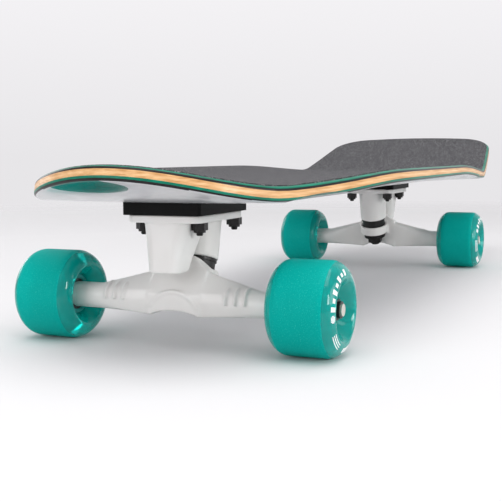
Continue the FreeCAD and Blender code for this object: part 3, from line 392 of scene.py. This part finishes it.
def make_deck(materials):
    """Seven veneers, relieved by the wheel wells, with the grip sheet on top."""
    drum_points, drum_faces = [], []
    for end in ("front", "rear"):
        for sign in (1.0, -1.0):
            points, faces = well_drum(end, sign)
            start = len(drum_points)
            drum_points += points
            drum_faces += [tuple(start + spot for spot in face) for face in faces]
    drums = finish_mesh("well_drums", drum_points, drum_faces, "deck")
    for level, (node, slot) in enumerate(VENEERS):
        sheet = deck_sheet("veneer_" + node, ply_rings(level))
        if node in RELIEVED:
            cut_away(sheet, drums)
            soften(sheet, 30.0)
        sheet.data.materials.clear()
        sheet.data.materials.append(materials[slot])
        if node == "ply_bottom_black":
            sheet.data.materials.append(materials["deck_paint"])
            for face in sheet.data.polygons:
                if face.normal.z < UNDERSIDE_NORMAL:
                    face.material_index = 1
        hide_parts(node)
    bpy.data.objects.remove(drums)
    grip = deck_sheet("grip_sheet", [(-GRIP, GRIP_EDGE + 0.25), (-GRIP * 0.8, GRIP_EDGE + 0.05),
                                     (-GRIP * 0.5, GRIP_EDGE), (0.0, GRIP_EDGE)])
    grip.data.materials.append(materials["grip"])
    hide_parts("grip_tape")


# ------------------------------------------------------------------ deck bolts

BOLT_TOP = TOP + GRIP + 0.3
BOLT_TIP, THREAD_TOP, THREAD_PITCH = 75.6, 88.0, 0.8
SHANK, THREAD_ROOT = 2.4, 2.05
CROSS_ARM, CROSS_REACH, CROSS_DEPTH, CROSS_TAPER = 0.5, 2.5, 1.6, 0.45
BOLT_ROWS, BOLT_SIDES = (8.77, -45.21), (20.64, -20.64)
BOLT_TURN = 0.31
BOX_FACES = ((0, 3, 2, 1), (4, 5, 6, 7), (0, 1, 5, 4), (1, 2, 6, 5), (2, 3, 7, 6), (3, 0, 4, 7))


def bolt_profile():
    """Countersunk head, plain shank and threaded tip, as radius and height."""
    profile = [(0.0, BOLT_TOP), (3.0, BOLT_TOP), (4.2, BOLT_TOP - 0.12), (4.55, BOLT_TOP - 0.4),
               (4.55, BOLT_TOP - 0.65), (SHANK, BOLT_TOP - 3.2), (SHANK, THREAD_TOP)]
    for turn in range(int((THREAD_TOP - BOLT_TIP - 0.6) / THREAD_PITCH)):
        start = THREAD_TOP - THREAD_PITCH * turn
        profile.append((SHANK, start - THREAD_PITCH * 0.15))
        profile.append((THREAD_ROOT, start - THREAD_PITCH * 0.55))
        profile.append((SHANK, start - THREAD_PITCH * 0.95))
    return profile + [(1.9, BOLT_TIP), (0.0, BOLT_TIP)]


def cross_box(long_x, long_y):
    """Tapered box that sinks one bar of the cross recess."""
    points = []
    for height, taper in ((BOLT_TOP - CROSS_DEPTH, CROSS_TAPER), (BOLT_TOP + 1.0, 1.0)):
        for x, y in ((-1, -1), (1, -1), (1, 1), (-1, 1)):
            points.append((x * long_x * taper, y * long_y * taper, height))
    return finish_mesh("cross_tool", points, BOX_FACES, "deck")


def make_bolts(materials):
    """Eight bolts with a cross recess above and a threaded tip below, each turned differently."""
    turned, faces = lathe(bolt_profile(), (0, 0, 0), 40)
    upright = [(x, z, y) for x, y, z in turned]
    one = finish_mesh("bolt_pattern", upright, faces, "deck")
    for long_x, long_y in ((CROSS_REACH, CROSS_ARM), (CROSS_ARM, CROSS_REACH)):
        tool = cross_box(long_x, long_y)
        cut_away(one, tool)
        bpy.data.objects.remove(tool)
    joined = bmesh.new()
    for station, away in ((STATIONS["front"], 1.0), (STATIONS["rear"], -1.0)):
        for reach_out in BOLT_ROWS:
            for side in BOLT_SIDES:
                place = Matrix.Translation(MM * Vector((station + away * reach_out, side, 0)))
                copy = one.data.copy()
                copy.transform(place @ Matrix.Rotation(BOLT_TURN * (station + side), 4, "Z"))
                joined.from_mesh(copy)
    mesh = bpy.data.meshes.new("deck_bolt_set")
    joined.to_mesh(mesh)
    joined.free()
    bpy.data.objects.remove(one)
    bolts = bpy.data.objects.new("deck_bolt_set", mesh)
    scene.collection.objects.link(bolts)
    soften(bolts, 30.0)
    mesh.materials.append(materials["hardware_black"])
    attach(bolts, "deck")
    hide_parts("deck_bolts")


# ------------------------------------------------------------------ cast truck parts

CAST_VOXEL = 0.62
HANGER_PASSES, BASEPLATE_PASSES = 12, 8


def cast_copy(node, passes, material, body):
    """Cast version of a CAD part: its edges are rounded off like a sand-blasted casting."""
    mesh = frame["nodes"][node].data.copy()
    item = bpy.data.objects.new(node + "_casting", mesh)
    scene.collection.objects.link(item)
    mesh.materials.clear()
    weld = item.modifiers.new("weld", "WELD")
    weld.merge_threshold = 1e-6
    remesh = item.modifiers.new("voxels", "REMESH")
    remesh.mode = "VOXEL"
    remesh.voxel_size = CAST_VOXEL * MM
    relax = item.modifiers.new("relax", "SMOOTH")
    relax.factor = 0.5
    relax.iterations = passes
    bake_modifiers(item)
    item.data.shade_smooth()
    item.data.materials.clear()
    item.data.materials.append(material)
    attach(item, body)
    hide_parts(node)


def make_castings(materials):
    """Both hangers and both baseplates."""
    for end in ("front", "rear"):
        cast_copy(end + "_hanger", HANGER_PASSES, materials["truck_white"], end + "_hanger_body")
        cast_copy(end + "_baseplate", BASEPLATE_PASSES, materials["truck_white"], "deck")


EDGE_WIDTHS = (
    ("_riser_pad", 0.7), ("_shim_pad", 0.35), ("_kingpin", 0.3), ("_kingpin_nut", 0.5),
    ("_upper_cup_washer", 0.2), ("_lower_cup_washer", 0.2), ("_upper_bushing", 0.8),
    ("_lower_bushing", 0.8), ("_axle", 0.6), ("_axle_nuts", 0.5), ("_speed_washers", 0.15),
    ("deck_nuts", 0.45),
)


def round_edges():
    """Small bevels on the machined CAD parts that stay."""
    for node, item in frame["nodes"].items():
        for ending, width in EDGE_WIDTHS:
            if node.endswith(ending):
                bevel = item.modifiers.new("edges", "BEVEL")
                bevel.width = width * MM
                bevel.segments = 2
                bevel.limit_method = "ANGLE"
                bevel.angle_limit = math.radians(40.0)
                bevel.harden_normals = True


# ------------------------------------------------------------------ wheels

WHEEL_RADIUS, WHEEL_HALF, LIP, HUB, HUB_HALF = 31.0, 23.25, 11.0, 13.6, 13.4
AXLE_HEIGHT, WHEEL_OFFSET = 31.0, 94.35
TREAD_HALF = WHEEL_HALF - LIP + 4.4
TREAD_DEPTH = 1.5
TYRE_SEGMENTS, TREAD_BANDS = 224, 10
INK_BELOW, INK_ABOVE = -0.06, 0.05
INK_STEP, INK_COLUMNS = 1.5, 6
DASH, DASH_PITCH, DASH_COUNT = 7.0, 12.5, 7
WHEEL_TURNS = {"front_left": 6.0, "front_right": 60.0, "rear_left": 40.0, "rear_right": 140.0}


def side_profile():
    """One side of the tyre from the tread's edge to the hub: lip, shallow dish, hub wall."""
    points = arc_points((WHEEL_RADIUS - LIP, WHEEL_HALF - LIP), LIP, 0, 84, 22)
    lip_end = points[-1]
    dish = [(lip_end[0] - 0.9, lip_end[1] - 0.25), (lip_end[0] - 1.7, lip_end[1] - 0.9),
            (lip_end[0] - 3.6, lip_end[1] - 3.5), (lip_end[0] - 5.6, lip_end[1] - 6.6),
            (HUB + 0.6, HUB_HALF + 1.0), (HUB, HUB_HALF + 0.15)]
    return points + dish


def tyre_mesh(name, centre, body):
    """Tyre turned about its axle: inner side, tread and outer side."""
    outer = side_profile()
    inner = [(radius, -side) for radius, side in reversed(outer)]
    tread = [(WHEEL_RADIUS, (WHEEL_HALF - LIP) * (2 * step / TREAD_BANDS - 1))
             for step in range(1, TREAD_BANDS)]
    points, faces = lathe(inner + tread + outer, centre, TYRE_SEGMENTS)
    return finish_mesh(name, points, faces, body, 60.0)


def print_strip(points, faces, centre, side, rows, first, last):
    """Thin raised strip of printed ink that follows the tyre's side between two angles.

    Rows are places along the side's profile, counted in its points.
    """
    profile = side_profile()
    low, high = rows
    spots = [low + (high - low) * step / INK_COLUMNS for step in range(INK_COLUMNS + 1)]
    steps = max(2, int(abs(last - first) / INK_STEP))
    start = len(points)
    for layer in (INK_BELOW, INK_ABOVE):
        for step in range(steps + 1):
            angle = math.radians(first + (last - first) * step / steps)
            for spot in spots:
                index = min(int(spot), len(profile) - 2)
                part = spot - index
                before, after = profile[index], profile[index + 1]
                radius = before[0] + (after[0] - before[0]) * part
                reach = before[1] + (after[1] - before[1]) * part
                along = Vector((after[0] - before[0], after[1] - before[1])).normalized()
                normal = Vector((-along.y, along.x))
                if normal.y < 0:
                    normal = -normal
                radius += normal.x * layer
                reach += normal.y * layer
                points.append((centre[0] + radius * math.cos(angle),
                               centre[1] + side * reach, centre[2] + radius * math.sin(angle)))
    width = len(spots)
    sheet = width * (steps + 1)
    for step in range(steps):
        for spot in range(width - 1):
            low_corner = start + step * width + spot
            high_corner = low_corner + sheet
            faces.append((low_corner, low_corner + 1, low_corner + width + 1,
                          low_corner + width))
            faces.append((high_corner, high_corner + width, high_corner + width + 1,
                          high_corner + 1))
    border = [start + spot for spot in range(width)]
    border += [start + step * width + width - 1 for step in range(1, steps + 1)]
    border += [start + steps * width + spot for spot in range(width - 2, -1, -1)]
    border += [start + step * width for step in range(steps - 1, 0, -1)]
    for index, spot in enumerate(border):
        following = border[(index + 1) % len(border)]
        faces.append((spot, following, following + sheet, spot + sheet))


def printed_ring(name, centre, side, turn, body, materials):
    """Plain decoration in white ink: an arc of dashes, a round spot, fine lines and bars."""
    points, faces = [], []
    for index in range(DASH_COUNT):
        start = turn + DASH_PITCH * index
        rows = (15.0, 20.6) if index % 2 == 0 else (16.2, 19.4)
        print_strip(points, faces, centre, side, rows, start, start + DASH)
    for index in range(6):
        start = turn - 16.0 + index * 1.9
        rows = (15.2, 20.4) if index in (1, 2, 3, 4) else (16.4, 19.2)
        print_strip(points, faces, centre, side, rows, start, start + 1.5)
    for index in range(3):
        low = 14.8 + 2.1 * index
        print_strip(points, faces, centre, side, (low, low + 0.9), turn - 66, turn - 36)
    print_strip(points, faces, centre, side, (14.0, 18.6), turn - 112, turn - 84)
    print_strip(points, faces, centre, side, (15.5, 16.1), turn + 102, turn + 150)
    print_strip(points, faces, centre, side, (18.8, 19.4), turn + 108, turn + 144)
    item = finish_mesh(name, points, faces, body, 50.0)
    item.data.materials.append(materials["ink"])


def on_tread(face, centre):
    """True for the frosted band round the tyre."""
    offset = Vector(face.center) / MM - Vector(centre)
    return abs(face.center.y / MM - centre[1]) < TREAD_HALF and \
        offset.xz.length > WHEEL_RADIUS - TREAD_DEPTH


def make_wheels(materials):
    """Tyres with clear sides and a frosted tread, and their printed marks."""
    for end, station in STATIONS.items():
        for side_name, side in (("left", 1.0), ("right", -1.0)):
            wheel = end + "_" + side_name
            body = wheel + "_wheel"
            centre = (station, WHEEL_OFFSET * side, AXLE_HEIGHT)
            tyre = tyre_mesh(wheel + "_cast_tyre", centre, body)
            tyre.data.materials.append(materials["urethane_side"])
            tyre.data.materials.append(materials["urethane_tread"])
            for face in tyre.data.polygons:
                if on_tread(face, centre):
                    face.material_index = 1
            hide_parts(wheel + "_tyre")
            printed_ring(wheel + "_side_print", centre, side, WHEEL_TURNS[wheel], body, materials)


# ------------------------------------------------------------------ material helpers

class Paint:
    """Small builder for a node-based material."""

    def __init__(self, name):
        self.material = bpy.data.materials.new(name)
        self.material.use_nodes = True
        self.tree = self.material.node_tree
        self.shader = self.tree.nodes["Principled BSDF"]
        self.coords = self.node("ShaderNodeTexCoord")

    def node(self, kind, **settings):
        """Add a node and set its properties."""
        made = self.tree.nodes.new(kind)
        for key, value in settings.items():
            setattr(made, key, value)
        return made

    def link(self, out, into):
        self.tree.links.new(out, into)

    def set(self, **values):
        """Set the shader's own sockets."""
        for key, value in values.items():
            self.shader.inputs[key.replace("_", " ")].default_value = value

    def scaled(self, scale):
        """Object coordinates stretched by three factors."""
        mapping = self.node("ShaderNodeMapping")
        mapping.inputs["Scale"].default_value = scale
        self.link(self.coords.outputs["Object"], mapping.inputs["Vector"])
        return mapping.outputs["Vector"]

    def noise(self, scale, stretch=(1, 1, 1), detail=4.0, roughness=0.55):
        """Noise fixed to the object."""
        made = self.node("ShaderNodeTexNoise")
        made.inputs["Scale"].default_value = scale
        made.inputs["Detail"].default_value = detail
        made.inputs["Roughness"].default_value = roughness
        self.link(self.scaled(stretch), made.inputs["Vector"])
        return made.outputs["Fac"]

    def distance(self, centre, half):
        """Distance from an upright ellipse's middle, in units of its half sizes."""
        mapping = self.node("ShaderNodeMapping")
        mapping.inputs["Scale"].default_value = (1 / half[0], 1 / half[1], 0.0)
        mapping.inputs["Location"].default_value = (-centre[0] / half[0],
                                                    -centre[1] / half[1], 0.0)
        self.link(self.coords.outputs["Object"], mapping.inputs["Vector"])
        length = self.node("ShaderNodeVectorMath", operation="LENGTH")
        self.link(mapping.outputs["Vector"], length.inputs[0])
        return length.outputs["Value"]

    def mix(self, factor, first, second):
        """Blend two colour outputs by a factor output."""
        made = self.node("ShaderNodeMix", data_type="RGBA")
        self.link(factor, made.inputs["Factor"])
        self.link(first, made.inputs["A"])
        self.link(second, made.inputs["B"])
        return made.outputs["Result"]

    def ramp(self, value, *stops):
        """Colour ramp; each stop is a place and a colour."""
        made = self.node("ShaderNodeValToRGB")
        elements = made.color_ramp.elements
        while len(elements) < len(stops):
            elements.new(0.5)
        for element, (place, colour) in zip(elements, stops):
            element.position = place
            element.color = (*colour, 1.0)
        self.link(value, made.inputs["Fac"])
        return made.outputs["Color"]

    def bump(self, height, strength, distance):
        """Fine relief, with its depth in metres."""
        made = self.node("ShaderNodeBump")
        made.inputs["Strength"].default_value = strength
        made.inputs["Distance"].default_value = distance
        self.link(height, made.inputs["Height"])
        self.link(made.outputs["Normal"], self.shader.inputs["Normal"])

    def colour(self, out):
        self.link(out, self.shader.inputs["Base Color"])


# The darker grey ovals round the two truck mounts are painted shade; the teal ovals are print.
UNDERSIDE_PATCHES = (
    ("painted_truck_shade", (0.262, 0.0), (0.066, 0.058)),
    ("painted_truck_shade", (-0.215, 0.0), (0.066, 0.058)),
    ("teal", (0.3805, -0.014), (0.0115, 0.027)),
    ("teal", (0.03, 0.0), (0.105, 0.034)),
    ("teal", (-0.352, 0.0), (0.022, 0.052)),
)
VENEER_COLOURS = (
    ("ply_green", (0.0, 0.125, 0.075), (0.0, 0.23, 0.145)),
    ("ply_black", (0.004, 0.004, 0.005), (0.014, 0.012, 0.013)),
    ("maple", (0.54, 0.27, 0.10), (0.79, 0.48, 0.23)),
    ("maple_cross", (0.66, 0.37, 0.16), (0.86, 0.57, 0.31)),
)


def speckled(name, scale, stops, settings, relief=None, **pattern):
    """Material whose colour follows one noise; relief is a bump strength and depth."""
    paint = Paint(name)
    speck = paint.noise(scale, **pattern)
    paint.colour(paint.ramp(speck, *stops))
    paint.set(**settings)
    if relief:
        paint.bump(speck, *relief)
    return paint.material


def gloss_paint():
    """White gloss paint under the deck, with rounded teal patches and darker grey ovals of painted
    shade round the two truck mounts.
    """
    paint = Paint("deck_gloss_paint")
    mottle = paint.noise(60.0, detail=3.0)
    base = paint.ramp(mottle, (0.3, (0.50, 0.50, 0.52)), (0.7, (0.57, 0.57, 0.59)))
    tints = {
        # Painted shade round the truck mounts: darker grey than the white paint.
        "painted_truck_shade": paint.ramp(mottle, (0.3, (0.27, 0.27, 0.28)), (0.7, (0.34, 0.34, 0.35))),
        "teal": paint.ramp(mottle, (0.3, (0.0, 0.10, 0.082)), (0.7, (0.0, 0.14, 0.115))),
    }
    for tint, centre, half in UNDERSIDE_PATCHES:
        edge = paint.ramp(paint.distance(centre, half), (0.985, (1, 1, 1)), (1.0, (0, 0, 0)))
        base = paint.mix(edge, base, tints[tint])
    paint.colour(base)
    paint.set(Roughness=0.25, Specular_IOR_Level=0.4, Coat_Weight=0.4, Coat_Roughness=0.06)
    return paint.material


def cast_paint():
    """Satin white casting: broad tone changes and a fine sand-blasted relief."""
    paint = Paint("cast_satin")
    fine = paint.noise(2200.0, detail=3.0)
    wide = paint.noise(35.0, detail=2.0)
    paint.colour(paint.ramp(wide, (0.3, (0.76, 0.745, 0.725)), (0.7, (0.81, 0.80, 0.785))))
    paint.set(Roughness=0.33, Metallic=0.0, Specular_IOR_Level=0.5)
    paint.bump(fine, 0.12, 0.0002)
    return paint.material


def make_materials():
    """One material for each slot, and the extra ones for clear sides, tread, paint and ink."""
    made = {"grip": speckled(
        "grip_grit_and_glints", 900.0,
        # The dark and mid stops are the grit; the light specks of the last stop are painted
        # glints.
        ((0.36, (0.016, 0.016, 0.019)), (0.54, (0.072, 0.071, 0.077)),
         (0.68, (0.40, 0.395, 0.41))),
        {"Roughness": 0.85, "Specular_IOR_Level": 0.3}, (0.6, 0.0006),
        detail=3.0, roughness=0.7)}
    for name, dark, light in VENEER_COLOURS:
        made[name] = speckled(
            name + "_veneer", 220.0, ((0.35, dark), (0.68, light)),
            {"Roughness": 0.38, "Specular_IOR_Level": 0.2, "Coat_Weight": 0.15,
             "Coat_Roughness": 0.1}, (0.12, 0.0002), stretch=(0.12, 0.6, 3.0), detail=5.0)
    made["deck_paint"] = gloss_paint()
    made["hardware_black"] = speckled(
        "black_oxide", 700.0, ((0.3, (0.006, 0.006, 0.006)), (0.75, (0.020, 0.018, 0.018))),
        {"Roughness": 0.32, "Specular_IOR_Level": 0.3}, (0.15, 0.0002), detail=3.0)
    made["riser_rubber"] = speckled(
        "riser_plastic", 900.0, ((0.3, (0.002, 0.002, 0.002)), (0.75, (0.005, 0.005, 0.0055))),
        {"Roughness": 0.5, "Specular_IOR_Level": 0.1}, (0.2, 0.0001), detail=3.0)
    made["bushing_black"] = speckled(
        "bushing_urethane", 500.0,
        ((0.3, (0.005, 0.005, 0.005)), (0.75, (0.013, 0.013, 0.014))),
        {"Roughness": 0.42, "Specular_IOR_Level": 0.35}, detail=2.0)
    made["truck_white"] = cast_paint()
    made["steel"] = speckled(
        "ground_steel", 600.0, ((0.3, (0.62, 0.585, 0.52)), (0.7, (0.80, 0.765, 0.69))),
        {"Roughness": 0.34, "Metallic": 0.75}, stretch=(3.0, 0.2, 3.0), detail=3.0)
    made["urethane_side"] = speckled(
        "clear_teal_urethane", 55.0, ((0.3, (0.0, 0.70, 0.62)), (0.7, (0.0, 0.82, 0.73))),
        {"Roughness": 0.02, "Transmission_Weight": 0.68, "IOR": 1.45,
         "Specular_IOR_Level": 0.25}, detail=2.0)
    made["urethane_tread"] = speckled(
        "frosted_teal_urethane", 1500.0,
        ((0.3, (0.0, 0.37, 0.325)), (0.60, (0.0, 0.44, 0.385)), (0.84, (0.05, 0.60, 0.53))),
        {"Roughness": 0.5, "Transmission_Weight": 0.14, "IOR": 1.3,
         "Specular_IOR_Level": 0.06}, (0.25, 0.0003), detail=2.0, roughness=0.6)
    made["urethane"] = made["urethane_tread"]
    made["ink"] = speckled(
        "white_ink", 900.0, ((0.3, (0.82, 0.84, 0.84)), (0.7, (0.90, 0.92, 0.92))),
        {"Roughness": 0.4}, detail=2.0)
    made["core_teal"] = speckled(
        "moulded_core", 300.0, ((0.3, (0.0, 0.27, 0.25)), (0.7, (0.0, 0.37, 0.34))),
        {"Roughness": 0.3, "Specular_IOR_Level": 0.3}, detail=2.0)
    made["bearing_dark"] = speckled(
        "bearing_shield", 400.0, ((0.3, (0.012, 0.012, 0.014)), (0.7, (0.035, 0.035, 0.038))),
        {"Roughness": 0.35}, detail=2.0)
    return made


def paint_nodes(materials):
    """Give every CAD node the material of its slot."""
    for part in frame["record"]["subparts"]:
        item = frame["nodes"][part["node"]]
        item.data.materials.clear()
        item.data.materials.append(materials[part["material_slot"]])


add_camera()
add_floor()
add_surroundings()
add_lamps()
MATERIALS = make_materials()
paint_nodes(MATERIALS)
make_deck(MATERIALS)
make_bolts(MATERIALS)
make_castings(MATERIALS)
make_wheels(MATERIALS)
round_edges()
